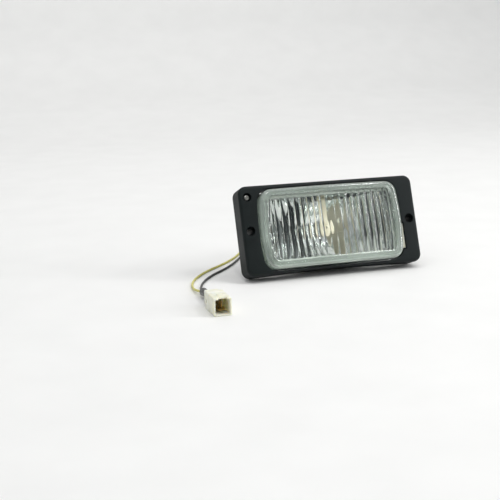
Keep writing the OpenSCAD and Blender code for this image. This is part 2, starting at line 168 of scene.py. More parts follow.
# A grain is the millimetres across the largest spots of a noise, its detail and, where it has one, its
# stretch. Colours and roughness run between two values along theirs, and roughness without a grain follows
# the colour's. A bump has its depth in millimetres and its strength.
wireInsulation = {
    "shader": {"IOR": 1.53},
    "colourGrain": (8, 3),
    "roughness": (0.3, 0.45),
    "roughGrain": (2, 2),
    "bump": (0.03, 0.3),
    "bumpGrain": (1.5, 2),
}
finishes = {
    # Injection-moulded ABS with a spark-eroded grain: charcoal, dry, with a soft broad highlight. The real
    # grain is about a tenth of a millimetre, and it is drawn coarser so that it shows.
    "moulded_abs": {
        "shader": {"IOR": 1.53, "Specular IOR Level": 0.2},
        "colours": ("#0f1616", "#161d1d"),
        "colourGrain": (22, 3),
        "roughness": (0.5, 0.6),
        "bump": (0.06, 0.35),
        "bumpGrain": (0.55, 2),
    },
    # The same resin from a plainer mould, for parts behind the face: flatter and a little browner
    "plain_moulded_plastic": {
        "shader": {"IOR": 1.5},
        "colours": ("#1b1e1f", "#272a2b"),
        "colourGrain": (9, 4, (1, 1, 0.3)),
        "roughness": (0.5, 0.66),
        "bump": (0.05, 0.3),
        "bumpGrain": (0.9, 3),
    },
    # Pressed soda-lime glass: clear, its faces slightly uneven
    "pressed_glass": {
        "shader": {"Base Color": toLinear("#fafcfa"), "Transmission Weight": 1, "IOR": 1.52},
        "roughness": (0.0, 0.03),
        "roughGrain": (30, 2),
        "bump": (0.12, 0.15),
        "bumpGrain": (7, 2),
    },
    # The lens's rim, left unpolished by the mould: milky grey-green glass with a shiny skin
    "mould_rim_glass": {
        "shader": {"Transmission Weight": 0.68, "IOR": 1.52, "Coat Weight": 0.8, "Coat Roughness": 0.04},
        "colours": ("#b4beb5", "#c6d0c8"),
        "colourGrain": (30, 2),
        "roughness": (0.08, 0.16),
        "bump": (0.06, 0.2),
        "bumpGrain": (12, 2),
    },
    # Vacuum-metallised lacquer: a near mirror with faint orange peel
    "metallised_lacquer": {
        "shader": {"Metallic": 1},
        "colours": ("#eaedec", "#f6f7f6"),
        "colourGrain": (35, 2),
        "roughness": (0.02, 0.07),
        "roughGrain": (16, 3),
        "bump": (0.05, 0.25),
        "bumpGrain": (4, 2),
    },
    # Grey butyl bead between glass and housing: pale, waxy, seen through the rim of the lens
    "grey_butyl": {
        "shader": {"IOR": 1.5},
        "colours": ("#a9b1aa", "#c3c9c2"),
        "colourGrain": (5, 3),
        "roughness": (0.4, 0.6),
        "roughGrain": (3, 2),
        "bump": (0.15, 0.4),
        "bumpGrain": (2, 2),
    },
    # Sprayed and baked enamel on the glare shield: warm cream, slightly glossy
    "cream_enamel": {
        "colours": ("#e2dabd", "#efe9d2"),
        "colourGrain": (6, 3),
        "roughness": (0.3, 0.42),
        "roughGrain": (4, 2),
        "bump": (0.02, 0.3),
        "bumpGrain": (1.2, 2),
    },
    # Zinc-plated steel: grey-white and finely crystalline, a little yellow where it has aged
    "zinc_plated_steel": {
        "shader": {"Metallic": 1},
        "colours": ("#bdbcb4", "#dcdcd8"),
        "colourGrain": (3, 3),
        "roughness": (0.24, 0.42),
        "roughGrain": (1.1, 4),
        "bump": (0.02, 0.3),
        "bumpGrain": (1.1, 4),
    },
    # Drawn spring steel: darker and brighter-edged than the plate
    "drawn_spring_steel": {
        "shader": {"Metallic": 1},
        "colours": ("#77766f", "#a3a29c"),
        "colourGrain": (0.5, 3, (1, 0.15, 1)),
        "roughness": (0.2, 0.36),
    },
    # Unfilled nylon, moulded: milky and translucent, warm white with faint flow marks
    "natural_nylon": {
        "shader": {
            "IOR": 1.53,
            "Subsurface Weight": 0.55,
            "Subsurface Radius": (1.0, 0.9, 0.6),
            "Subsurface Scale": 0.0025,
        },
        "colours": ("#e4e2cc", "#f2f1e3"),
        "colourGrain": (6, 3),
        "roughness": (0.3, 0.44),
        "roughGrain": (2.5, 2),
        "bump": (0.03, 0.35),
        "bumpGrain": (1.4, 2),
    },
    # Stamped brass, tinned long ago: brown-gold with dull patches
    "stamped_brass": {
        "shader": {"Metallic": 1},
        "colours": ("#8a6b38", "#b8975a"),
        "colourGrain": (2.2, 4),
        "roughness": (0.28, 0.46),
        "bump": (0.015, 0.3),
        "bumpGrain": (0.6, 2),
    },
    # Compression-moulded rubber: nearly black, with a grey bloom and a soft sheen
    "moulded_rubber": {
        "shader": {"IOR": 1.52},
        "colours": ("#232626", "#3a3d3b"),
        "colourGrain": (11, 5),
        "colourSpread": (0.35, 0.75),
        "roughness": (0.55, 0.78),
        "bump": (0.06, 0.4),
        "bumpGrain": (0.8, 3),
    },
    # PVC wire insulation: smooth extruded plastic with a satin skin
    "black_pvc": {"colours": ("#151616", "#222423"), **wireInsulation},
    "yellow_pvc": {"colours": ("#c3bb58", "#d6cf78"), **wireInsulation},
    # Quartz bulb: clear, colourless and thin
    "quartz_glass": {
        "shader": {"Transmission Weight": 1, "IOR": 1.46},
        "colours": ("#f4f6f5", "#ffffff"),
        "colourGrain": (6, 2),
        "roughness": (0.0, 0.02),
    },
    # Sintered and drawn tungsten: dark grey, dull
    "tungsten_wire": {
        "shader": {"Metallic": 1},
        "colours": ("#55534f", "#7d7b76"),
        "colourGrain": (0.4, 2),
        "roughness": (0.35, 0.5),
    },
    # Uncoated background paper: near white, with no shine
    "matt_paper": {
        "colours": ("#eeedeb", "#f1f0ee"),
        "colourGrain": (60, 2),
        "roughness": (0.55, 0.65),
        "roughGrain": (3, 2),
    },
}


def makeMaterial(name, recipe):
    material = bpy.data.materials.new(name)
    material.use_nodes = True
    tree = material.node_tree
    shader = tree.nodes["Principled BSDF"]
    for socket, value in recipe.get("shader", {}).items():
        shader.inputs[socket].default_value = value
    where = addNode(tree, "ShaderNodeTexCoord").outputs["Object"]
    pattern = {}
    for use in ("colourGrain", "roughGrain", "bumpGrain"):
        if use in recipe:
            size, detail, stretch = (*recipe[use], (1, 1, 1))[:3]
            mapping = addNode(tree, "ShaderNodeMapping", None, {"Vector": where, "Scale": stretch})
            pattern[use] = addNode(tree, "ShaderNodeTexNoise", None, {
                "Vector": mapping.outputs["Vector"], "Scale": 1 / (size * mm), "Detail": detail,
            }).outputs["Fac"]
    middleOfNoise = (0.3, 0.7)
    if "colours" in recipe:
        low, high = recipe.get("colourSpread", middleOfNoise)
        share = addNode(tree, "ShaderNodeMapRange", None, {
            "Value": pattern["colourGrain"], "From Min": low, "From Max": high,
        })
        first, second = recipe["colours"]
        mix = addNode(tree, "ShaderNodeMix", {"data_type": "RGBA"}, {
            0: share.outputs["Result"], 6: toLinear(first), 7: toLinear(second),
        })
        tree.links.new(mix.outputs[2], shader.inputs["Base Color"])
    smoothest, roughest = recipe["roughness"]
    roughness = addNode(tree, "ShaderNodeMapRange", None, {
        "Value": pattern.get("roughGrain") or pattern["colourGrain"],
        "From Min": middleOfNoise[0], "From Max": middleOfNoise[1],
        "To Min": smoothest, "To Max": roughest,
    })
    tree.links.new(roughness.outputs["Result"], shader.inputs["Roughness"])
    if "bump" in recipe:
        depth, strength = recipe["bump"]
        bump = addNode(tree, "ShaderNodeBump", None, {
            "Height": pattern["bumpGrain"], "Distance": depth * mm, "Strength": strength,
        })
        tree.links.new(bump.outputs["Normal"], shader.inputs["Normal"])
    return material


finish = {name: makeMaterial(name, recipe) for name, recipe in finishes.items()}
print("materials ready:", len(finish))


# A shape from its points and faces
def shapeFrom(name, points, faces):
    mesh = bpy.data.meshes.new(name)
    mesh.from_pydata([tuple(point) for point in points], [], faces)
    work = bmesh.new()
    work.from_mesh(mesh)
    bmesh.ops.remove_doubles(work, verts=work.verts, dist=1e-5)
    bmesh.ops.recalc_face_normals(work, faces=work.faces)
    work.to_mesh(mesh)
    work.free()
    piece = bpy.data.objects.new(name, mesh)
    bpy.context.scene.collection.objects.link(piece)
    return piece


# Applies one modifier with its settings
def apply(piece, kind, **settings):
    modifier = piece.modifiers.new(kind, kind)
    for key, value in settings.items():
        setattr(modifier, key, value)
    depsgraph = bpy.context.evaluated_depsgraph_get()
    mesh = bpy.data.meshes.new_from_object(piece.evaluated_get(depsgraph))
    piece.modifiers.clear()
    old = piece.data
    piece.data = mesh
    bpy.data.meshes.remove(old)


# Cuts the tools out of the piece, or joins them to it
def carve(piece, tools, operation="DIFFERENCE"):
    for tool in tools:
        apply(piece, "BOOLEAN", object=tool, operation=operation, solver="EXACT")
        bpy.data.objects.remove(tool)


def soften(piece, width=0.4, segments=2, angle=40):
    apply(piece, "BEVEL", width=width, segments=segments, limit_method="ANGLE",
          angle_limit=math.radians(angle), use_clamp_overlap=True)


# Puts a finished shape where it belongs, gives it its finish, hangs it on the body that it rides on and hides
# the CAD parts that it stands for
def place(piece, where, material, body, nodes, smooth=35):
    piece.data.transform(where)
    piece.data.shade_smooth()
    piece.data.set_sharp_from_angle(angle=math.radians(smooth))
    piece.data.materials.clear()
    piece.data.materials.append(finish[material])
    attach(piece, body)
    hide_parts(*nodes)
    return piece


# Skin over a row of equal rings; closed rows join the last ring to the first
def loft(name, rings, closed=False, caps=True):
    count = len(rings[0])
    points = [point for ring in rings for point in ring]
    faces = []
    steps = len(rings) if closed else len(rings) - 1
    for i in range(steps):
        j = (i + 1) % len(rings)
        for k in range(count):
            n = (k + 1) % count
            faces.append((i * count + k, i * count + n, j * count + n, j * count + k))
    if caps and not closed:
        faces.append(tuple(range(count)))
        faces.append(tuple(range((len(rings) - 1) * count, len(rings) * count)))
    return shapeFrom(name, points, faces)


def anglesRound(steps):
    return [math.tau * k / steps for k in range(steps)]


# A circle facing the front of the lamp
def circle(radius, y, x=0.0, z=0.0, steps=48):
    return [(x + radius * math.cos(a), y, z + radius * math.sin(a)) for a in anglesRound(steps)]


# A turned shape about the lamp's axis at (x, z), from radius and depth pairs
def turned(name, profile, x=0.0, z=0.0, steps=48, closed=False):
    return loft(name, [circle(radius, y, x, z, steps) for radius, y in profile], closed)


def rod(x, z, low, high, radius, steps=48):
    return turned("rod", [(radius, low), (radius, high)], x, z, steps)


# A rod across the lamp
def crossRod(low, high, y, z, radius, steps=32):
    rings = [[(x, y + radius * math.cos(a), z + radius * math.sin(a)) for a in anglesRound(steps)]
             for x in (low, high)]
    return loft("rod", rings)


def box(low, high):
    (ax, ay, az), (bx, by, bz) = low, high
    rings = [[(ax, y, az), (bx, y, az), (bx, y, bz), (ax, y, bz)] for y in (ay, by)]
    return loft("box", rings)


# A round bar bent along points
def bar(name, points, radius, steps=12):
    points = [Vector(point) for point in points]
    side = None
    rings = []
    for i, point in enumerate(points):
        ahead = (points[min(i + 1, len(points) - 1)] - points[max(i - 1, 0)]).normalized()
        if side is None:
            side = ahead.orthogonal().normalized()
        side = (side - ahead * side.dot(ahead)).normalized()
        other = ahead.cross(side)
        rings.append([tuple(point + side * radius * math.cos(a) + other * radius * math.sin(a))
                      for a in anglesRound(steps)])
    return loft(name, rings)


# The points of a smooth curve through a few given ones
def smoothLine(points, steps=6):
    points = [Vector(point) for point in points]
    full = [points[0] * 2 - points[1]] + points + [points[-1] * 2 - points[-2]]
    line = []
    for a, b, c, d in zip(full, full[1:], full[2:], full[3:]):
        for k in range(steps):
            t = k / steps
            line.append(0.5 * (2 * b + (c - a) * t + (2 * a - 5 * b + 4 * c - d) * t * t
                               + (3 * b - a - 3 * c + d) * t ** 3))
    return line + [points[-1]]


# Outline with round corners, sides that bow out and a lower edge that may arch up, as x and z pairs
def outline(shape, grow=0.0, cornerSteps=8, sideSteps=14):
    wide = shape["halfWidth"] + grow
    high = shape["halfHeight"] + grow
    corner = max(shape["corner"] + grow, 0.3)
    bow = shape.get("bow", 0)
    sideWide = wide - bow * ((high - corner) / high) ** 2
    points = []
    for turn, (sx, sz) in enumerate(((1, -1), (1, 1), (-1, 1), (-1, -1))):
        for step in range(cornerSteps + 1):
            angle = math.radians(-90 + 90 * turn + 90 * step / cornerSteps)
            points.append((sx * (sideWide - corner) + corner * math.cos(angle),
                           sz * (high - corner) + corner * math.sin(angle)))
        for step in range(1, sideSteps):
            along = 2 * step / sideSteps - 1
            if turn % 2 == 0:
                z = along * (high - corner) * (1 if turn == 0 else -1)
                points.append(((1 if turn == 0 else -1) * (wide - bow * (z / high) ** 2), z))
            else:
                x = along * (sideWide - corner) * (-1 if turn == 1 else 1)
                lift = shape.get("arch", 0) * max(0.0, 1 - (x / shape.get("archHalf", wide)) ** 2)
                points.append((x, high if turn == 1 else lift - high))
    return points


# Half height of a bowed outline at one x
def halfHeightAt(shape, x, grow=0.0):
    wide = shape["halfWidth"] + grow
    high = shape["halfHeight"] + grow
    corner = shape["corner"] + grow
    bow = shape["bow"]
    sideWide = wide - bow * ((high - corner) / high) ** 2
    x = abs(x)
    if x <= sideWide - corner:
        return high
    if x <= sideWide:
        return high - corner + math.sqrt(max(corner ** 2 - (x - sideWide + corner) ** 2, 0))
    return high * math.sqrt(max(wide - x, 0) / bow)


def insideOutline(shape, grow, x, z):
    return abs(x) < shape["halfWidth"] + grow and abs(z) < halfHeightAt(shape, x, grow)


# Faces of a grid of points given column by column, and the grid's rim in order
def gridFaces(columns, rows):
    step = rows + 1
    faces = [(i * step + k, (i + 1) * step + k, (i + 1) * step + k + 1, i * step + k + 1)
             for i in range(columns) for k in range(rows)]
    rim = list(range(step)) + [i * step + rows for i in range(1, columns + 1)]
    rim += [columns * step + k for k in range(rows - 1, -1, -1)]
    rim += [i * step for i in range(columns - 1, 0, -1)]
    return faces, rim


# Faces of the wall between two loops of points
def wallFaces(first, second):
    count = len(first)
    return [(first[k], first[(k + 1) % count], second[(k + 1) % count], second[k]) for k in range(count)]


lensShape = {
    "halfWidth": 73,
    "halfHeight": 38.8,
    "corner": 12,
    "bow": 3,
    "proud": 8,
    "faceRadius": 800,
    "back": 8,
    "edgeRound": 3.5,
    "glass": 3.5,
    "rim": 6.8,
    "flutePitch": 6.8,
    "fluteSteps": 8,
    "flutes": 19,
    "fluteDepth": 1.1,
    "middleDepth": 0.4,
    "fluteStop": 33.5,
    "scoop": 2.2,
    "windowStep": 0.45,
    "rows": 30,
}


def lensFace(x):
    return x * x / (2 * lensShape["faceRadius"]) - lensShape["proud"]


def makeLens():
    s = lensShape
    edge = s["edgeRound"]
    rings = [[(x, s["back"], z) for x, z in outline(s)]]
    for depth in (4, 0):
        rings.append([(x, depth, z) for x, z in outline(s)])
    for step in range(7):
        angle = math.radians(90 * step / 6)
        grow = edge * (math.cos(angle) - 1)
        rings.append([(x, lensFace(x) + edge * (1 - math.sin(angle)), z) for x, z in outline(s, grow)])
    # two mould lines and then a fine step run round the window
    steps = [(-4.0, 0), (-4.25, 0.35), (-4.55, 0.35), (-4.8, 0)]
    steps += [(-5.7, 0), (-5.9, 0.25), (-6.1, 0.25), (-6.3, 0)]
    steps += [(-s["rim"], 0), (-s["rim"] - 0.3, 0.15), (-s["rim"] - 0.7, 0.4)]
    steps += [(grow, s["windowStep"]) for grow in (-s["rim"] - 1.2, -12, -18, -25, -32, -37)]
    for grow, step in steps:
        rings.append([(x, lensFace(x) + step, z) for x, z in outline(s, grow)])
    glass = loft("lens_glass", rings)
    # the hollow behind the glass, its front face fluted
    wide = s["halfWidth"] - s["glass"]
    field = s["flutePitch"] * s["flutes"] / 2
    fine = s["fluteSteps"]
    columns = [-field + s["flutePitch"] * k / fine for k in range(fine * s["flutes"] + 1)]
    margin = [field + (wide - field) * (1 - (1 - k / 8) ** 2) for k in range(1, 9)]
    columns = [-x for x in reversed(margin)] + columns + margin
    rows = s["rows"]
    grid = []
    for x in columns:
        high = max(halfHeightAt(s, x, -s["glass"]), 0.02)
        for k in range(rows + 1):
            z = high * (2 * k / rows - 1)
            across = ((x + field) / s["flutePitch"]) % 1 * 2 - 1
            groove = 1 - across ** 2 if abs(x) < field else 0
            # the grooves end in round scoops
            stop = min(max((s["fluteStop"] - s["scoop"] * across ** 2 - abs(z)) / 1.6, 0), 1)
            depth = s["middleDepth"] if abs(x) < 1.5 * s["flutePitch"] else s["fluteDepth"]
            grid.append((x, lensFace(x) + s["glass"] - depth * groove * stop * stop * (3 - 2 * stop), z))
    faces, rim = gridFaces(len(columns) - 1, rows)
    back = range(len(grid), len(grid) + len(rim))
    points = grid + [(grid[i][0], s["back"] + 1, grid[i][2]) for i in rim]
    faces += wallFaces(rim, back) + [tuple(back)]
    carve(glass, [shapeFrom("hollow", points, faces)])
    onRim = [not insideOutline(s, -s["rim"], face.center.x, face.center.z) for face in glass.data.polygons]
    place(glass, lampPlace, "pressed_glass", "optic_unit", ["lens"], 30)
    glass.data.materials.append(finish["mould_rim_glass"])
    for face, milky in zip(glass.data.polygons, onRim):
        face.material_index = 1 if milky else 0
    glass.visible_shadow = False  # clear glass lets the light in to the pieces behind it
    return glass


makeLens()


# The bead's section: growth from the lens's outline, and depth
sealShape = {
    "section": ((-0.4, 8.4), (-0.8, 8.05), (-4.6, 8.05), (-5.0, 8.3), (-5.4, 8.05), (-6.5, 8.1),
                (-7.0, 8.6), (-7.0, 9.6), (-6.6, 9.95), (-0.8, 9.95), (-0.4, 9.6)),
}


def makeSeal():
    rings = [[(x, depth, z) for x, z in outline(lensShape, grow)] for grow, depth in sealShape["section"]]
    return place(loft("butyl_bead", rings, closed=True), lampPlace, "grey_butyl", "optic_unit", ["lens_seal"])


makeSeal()
print("lens and seal made")

bezelShape = {
    "halfWidth": 91,
    "halfHeight": 44,
    "corner": 8,
    "arch": 2.2,
    "archHalf": 80,
    "depth": 22,
    "faceRound": 3,
    "wall": 2.5,
    "gap": 1.2,
    "holeSide": 83,
    "holeRadius": 2.75,
    "counterbore": (4.5, 5),
    "holeBoss": 6.2,
    "ribsAt": (-24, 20),
    "ribHalf": 0.7,
    "screw": (-82.5, 33),
    "screwHole": 2.5,
    "screwSink": (4.2, 4.5),
    "screwBoss": (5.4, 11),
    "pivot": (16.5, -17),
    "pivotHole": 2.55,
    "pivotBoss": 5,
    "edgeBreak": 0.35,
}


def makeBezel():
    s = bezelShape
    depth = s["depth"]
    rings = []
    for y in (depth, depth - 1, 12, 5):
        rings.append([(x, y, z) for x, z in outline(s)])
    # below the opening the rounding stops short, because the arch leaves only a thin lip
    lip = -(lensShape["halfHeight"] + s["gap"] + 1)
    for step in range(7):
        angle = math.radians(90 * step / 6)
        grow = s["faceRound"] * (math.cos(angle) - 1)
        y = s["faceRound"] * (1 - math.sin(angle))
        rings.append([(x, y, min(z, lip) if z < 0 and abs(x) < s["archHalf"] else z)
                      for x, z in outline(s, grow)])
    for extra, y in ((0.5, 0), (0.4, 0.2), (0.3, 0.8), (0.2, 3), (0, 9), (0, depth)):
        grow = s["gap"] + extra
        rings.append([(x, y, z) for x, z in outline(lensShape, grow)])
    frameRing = loft("bezel_frame", rings, closed=True)
    opening = lensShape["halfWidth"] + s["gap"]
    inside = opening + s["wall"]
    outside = s["halfWidth"] - s["wall"]
    pivotY, pivotZ = s["pivot"]
    screwX, screwZ = s["screw"]
    tools = []
    for side in (-1, 1):
        low, high = sorted((side * inside, side * outside))
        pocket = box((low, 3, -s["halfHeight"] + 3), (high, depth + 1, s["halfHeight"] - s["wall"]))
        keep = [rod(side * s["holeSide"], 0, 2, depth + 2, s["holeBoss"])]
        ends = sorted((side * (opening + 2), side * (opening + 7)))
        keep.append(crossRod(*ends, pivotY, pivotZ, s["pivotBoss"]))
        if side < 0:
            bossRadius, bossEnd = s["screwBoss"]
            keep.append(rod(screwX, screwZ, 2, bossEnd, bossRadius))
        # ribs that stiffen the hollow ear
        for z in s["ribsAt"]:
            keep.append(box((low - 1, 2, z - s["ribHalf"]), (high + 1, depth - 6, z + s["ribHalf"])))
        carve(pocket, keep)
        tools.append(pocket)
    sinkRadius, sinkDepth = s["counterbore"]
    for side in (-1, 1):
        tools.append(rod(side * s["holeSide"], 0, -1, depth + 1, s["holeRadius"]))
        tools.append(rod(side * s["holeSide"], 0, -1, sinkDepth, sinkRadius))
        low, high = sorted((side * 72, side * 76.2))
        tools.append(box((low, 5 if side < 0 else -1, pivotZ - 13.5), (high, depth + 1, pivotZ + 13.5)))
        low, high = sorted((side * (opening - 1), side * (opening + 8)))
        tools.append(crossRod(low, high, pivotY, pivotZ, s["pivotHole"]))
    sinkRadius, sinkDepth = s["screwSink"]
    tools.append(rod(screwX, screwZ, -1, 12, s["screwHole"]))
    tools.append(rod(screwX, screwZ, -1, sinkDepth, sinkRadius))
    tools.append(box((-opening - 4.5, 12, screwZ - 9), (-opening + 10, depth + 1, screwZ + 6.5)))
    high = lensShape["halfHeight"] + s["gap"]
    tools.append(box((-3, -1, high - 1), (3, 5, high + 1.2)))
    carve(frameRing, tools)
    soften(frameRing, s["edgeBreak"], 2)
    return place(frameRing, lampPlace, "moulded_abs", "bezel_frame", ["bezel"])


makeBezel()
print("bezel made")

reflectorShape = {
    "halfWidth": 66.5,
    "shelf": 30.8,
    "apex": 58,
    "focal": 21,
    "front": 10.5,
    "thickness": 1.1,
    "bulbHole": 6.6,
    "grid": (96, 46),
    "edgeInset": -4.2,
}


def bowlDepth(x, z, apex):
    return max(reflectorShape["front"], apex - (x * x + z * z) / (4 * reflectorShape["focal"]))


# Where a ray from the middle through (x, z) meets the outline
def stretchTo(shape, grow, x, z):
    low, high = 1.0, 3.0
    for _ in range(24):
        middle = (low + high) / 2
        if insideOutline(shape, grow, x * middle, z * middle):
            low = middle
        else:
            high = middle
    return x * low, z * low


# Points of the bowl from side to side and shelf to shelf, no nearer to the lens than front
def bowlGrid(apex, halfWidth, halfHeight, front, columns, rows):
    points = []
    for i in range(columns + 1):
        x = halfWidth * (2 * i / columns - 1)
        for k in range(rows + 1):
            z = halfHeight * (2 * k / rows - 1)
            points.append((x, max(front, bowlDepth(x, z, apex)), z))
    return points


def makeReflector():
    s = reflectorShape
    front = s["front"]
    points = bowlGrid(s["apex"], s["halfWidth"], s["shelf"], front, *s["grid"])
    faces, rim = gridFaces(*s["grid"])
    shelf = range(len(points), len(points) + len(rim))
    flange = range(shelf.stop, shelf.stop + len(rim))
    edge = [(points[i][0], points[i][2]) for i in rim]
    points += [(x, front, z) for x, z in edge]
    for x, z in edge:
        x, z = stretchTo(lensShape, s["edgeInset"], x, z)
        points.append((x, front, z))
    faces += wallFaces(rim, shelf) + wallFaces(shelf, flange)
    shell = shapeFrom("reflector_shell", points, faces)
    apply(shell, "SOLIDIFY", thickness=s["thickness"], offset=1 if shellFacesFront(shell) else -1)
    carve(shell, [rod(0, 0, s["apex"] - 6, s["apex"] + 6, s["bulbHole"])])
    return place(shell, lampPlace, "metallised_lacquer", "optic_unit", ["reflector"], 40)


# Whether the bowl's normals point at the lens
def shellFacesFront(shell):
    middle = max(shell.data.polygons, key=lambda face: face.center.y)
    return middle.normal.y > 0


makeReflector()
print("reflector made")

shieldShape = {
    "radius": 9,
    "front": 21,
    "thickness": 1,
    "hole": 1.4,
    "edgeBreak": 0.15,
    "strapHalf": 5,
    "strapLow": 5,
    "footEnd": 33,
    "footHeight": (29.8, 30.8),
}


def makeShield():
    s = shieldShape
    front = s["front"]
    thick = s["thickness"]
    radius, hole = s["radius"], s["hole"]
    profile = [(hole, front), (4, front + 0.1), (7, front + 0.45), (8.6, front + 0.8), (radius, front + 1),
               (8.9, front + thick), (7, front + 0.9), (4, front + 0.85), (hole, front + 0.8)]
    disc = turned("shield_disc", profile, closed=True)
    # the strap rises from behind the disc, turns back at the top and is riveted to the reflector
    low, high = s["footHeight"]
    footEnd = s["footEnd"]
    side = [(s["strapLow"], front + 0.5), (24, front + 0.1), (26.6, front), (28.6, front + 0.4),
            (29.7, front + 1.4), (high, front + 3.4), (high, footEnd), (low, footEnd),
            (low, front + 3.6), (28.9, front + 2.1), (28.1, front + 1.3), (26.4, front + thick),
            (24, front + thick), (s["strapLow"], front + thick + 0.4)]
    half = s["strapHalf"]
    across = (-half, -half + 0.25, half - 0.25, half)
    strap = loft("shield_strap", [[(x, y, z) for z, y in side] for x in across])
    carve(disc, [strap], "UNION")
    soften(disc, s["edgeBreak"], 2, 50)
    return place(disc, lampPlace, "cream_enamel", "optic_unit", ["glare_shield"])


makeShield()


bulbShape = {
    "outer": 5.4,
    "inner": 4.6,
    "domeAt": 39.3,
    "neck": ((5.4, 56.8), (5.0, 57.8), (4.6, 58.3)),
    "throat": ((3.9, 58.2), (4.3, 57.0), (4.6, 56.0), (4.6, 39.3)),
    "filamentAt": 42.3,
    "turns": 9,
    "turnSteps": 10,
    "coilRadius": 0.42,
    "coilHalf": 2,
    "coilEnd": 2.6,
    "coilWire": 0.12,
    "postWire": 0.25,
}


def makeBulb():
    s = bulbShape
    quarter = [math.pi / 2 * k / 8 for k in range(9)]
    middle, outer, inner = s["domeAt"], s["outer"], s["inner"]
    profile = [(max(radius, 0.05), y) for radius, y in s["throat"]]
    profile += [(max(inner * math.cos(a), 0.05), middle - inner * math.sin(a)) for a in quarter[1:]]
    dome = [(max(outer * math.cos(a), 0.05), middle - outer * math.sin(a)) for a in reversed(quarter)]
    bulb = turned("bulb_glass", dome + list(s["neck"]) + profile, steps=40)
    place(bulb, lampPlace, "quartz_glass", "optic_unit", ["bulb_glass"], 60)
    bulb.visible_shadow = False
    # coiled filament across its two posts
    end, at = s["coilEnd"], s["filamentAt"]
    coil = [(-end, at, 0)]
    count = s["turns"] * s["turnSteps"]
    for k in range(count + 1):
        a = math.tau * k / s["turnSteps"]
        along = s["coilHalf"] * (2 * k / count - 1)
        coil.append((along, at + s["coilRadius"] * math.cos(a), s["coilRadius"] * math.sin(a)))
    coil.append((end, at, 0))
    filament = bar("coiled_filament", coil, s["coilWire"], 6)
    posts = []
    for side in (-1, 1):
        line = [(side * end, at, 0), (side * 2.4, 46, 0), (side * 1.6, 52, 0), (side * 1.6, 57, 0)]
        posts.append(bar("post", smoothLine(line, 4), s["postWire"], 8))
    bpy.ops.object.select_all(action="DESELECT")
    for piece in posts + [filament]:
        piece.select_set(True)
    bpy.context.view_layer.objects.active = filament
    bpy.ops.object.join()
    return place(filament, lampPlace, "tungsten_wire", "optic_unit", ["bulb_filament"], 60)


makeBulb()
print("shield and bulb made")


clipShape = {
    "plate": (73.2, 75.5),
    "plateEnd": 20,
    "plateHalf": 12.2,
    "starts": {-1: 12, 1: 1.5},  # the left clip sits deeper, out of sight
    "foot": (71, 73.4),
    "footDepth": (10.2, 15.8),
    "footHalf": 10,
    "pin": (75, 80.8),
    "pinRadius": 2.5,
    "edgeBreak": 0.3,
}


def makePivotClips():
    s = clipShape
    pivotY, pivotZ = bezelShape["pivot"]
    half, footHalf = s["plateHalf"], s["footHalf"]
    footStart, footEnd = s["footDepth"]
    plates = []
    for side in (-1, 1):
        low, high = sorted(side * x for x in s["plate"])
        plate = box((low, s["starts"][side], pivotZ - half), (high, s["plateEnd"], pivotZ + half))
        low, high = sorted(side * x for x in s["foot"])
        foot = box((low, footStart, pivotZ - footHalf), (high, footEnd, pivotZ + footHalf))
        low, high = sorted(side * x for x in s["pin"])
        carve(plate, [foot, crossRod(low, high, pivotY, pivotZ, s["pinRadius"])], "UNION")
        plates.append(plate)
    clips = plates[0]
    carve(clips, plates[1:], "UNION")
    soften(clips, s["edgeBreak"], 2)
    clips.name = "moulded_clips"
    return place(clips, lampPlace, "natural_nylon", "optic_unit", ["pivot_clips"])


makePivotClips()

screwShape = {
    "headRadius": 3,
    "head": (2, 4.3),
    "shankRadius": 2.4,
    "end": 34,
    "pitch": 1.6,
    "threadFrom": 13,
    "threadDepth": 0.45,
    "ringsPerTurn": 10,
    "steps": 24,
    "recess": (2.2, 0.5),
}


# Radius and depth pairs for the washer, and the nut that the screw runs in
washerShape = {
    "section": ((2.45, 11.4), (2.55, 11.3), (4.5, 11.3), (4.6, 11.4), (4.6, 12.2), (4.5, 12.3),
                (2.55, 12.3), (2.45, 12.2)),
}
nutShape = {
    "half": 4.15,
    "depth": (15.5, 22),
    "flangeHalf": 5,
    "flangeAt": 20.5,
    "slitHalf": 0.4,
    "hole": 2.9,
    "edgeBreak": 0.25,
}


def makeScrew():
    s = screwShape
    x, z = bezelShape["screw"]
    top, bottom = s["head"]
    shank, steps = s["shankRadius"], s["steps"]
    profile = [(0.05, top), (1.2, top + 0.04), (2.1, top + 0.2), (2.65, top + 0.55), (2.95, top + 1.2),
               (s["headRadius"], bottom), (shank, bottom), (shank, s["threadFrom"] - 0.5)]
    rings = [circle(radius, y, x, z, steps) for radius, y in profile]
    # a coarse thread with one start, at the pitch that the aiming is geared to
    y = s["threadFrom"]
    while y < s["end"] - 0.2:
        ease = min((y - s["threadFrom"]) / 1.5, (s["end"] - y) / 1.2, 1)
        ring = []
        for k, a in enumerate(anglesRound(steps)):
            along = (y / s["pitch"] - k / steps) % 1
            radius = shank - s["threadDepth"] * ease * (1 - abs(2 * along - 1))
            ring.append((x + radius * math.cos(a), y, z + radius * math.sin(a)))
        rings.append(ring)
        y += s["pitch"] / s["ringsPerTurn"]
    for radius, y in ((2.0, s["end"] - 0.15), (1.5, s["end"])):
        rings.append(circle(radius, y, x, z, steps))
    screw = loft("adjuster_screw_turned", rings)
    # the two wings of the cross recess narrow towards its bottom
    wings = []
    for across, up in (s["recess"], reversed(s["recess"])):
        sections = []
        for y, share in ((top - 1, 1), (top + 1.4, 0.8)):
            dx, dz = across * share, up * share
            sections.append([(x - dx, y, z - dz), (x + dx, y, z - dz),
                             (x + dx, y, z + dz), (x - dx, y, z + dz)])
        wings.append(loft("wing", sections))
    carve(screw, wings)
    return place(screw, lampPlace, "zinc_plated_steel", "adjuster", ["adjuster_screw"])


def makeWasher():
    washer = turned("plain_washer", washerShape["section"], *bezelShape["screw"], closed=True)
    return place(washer, lampPlace, "zinc_plated_steel", "adjuster", ["screw_washer"])


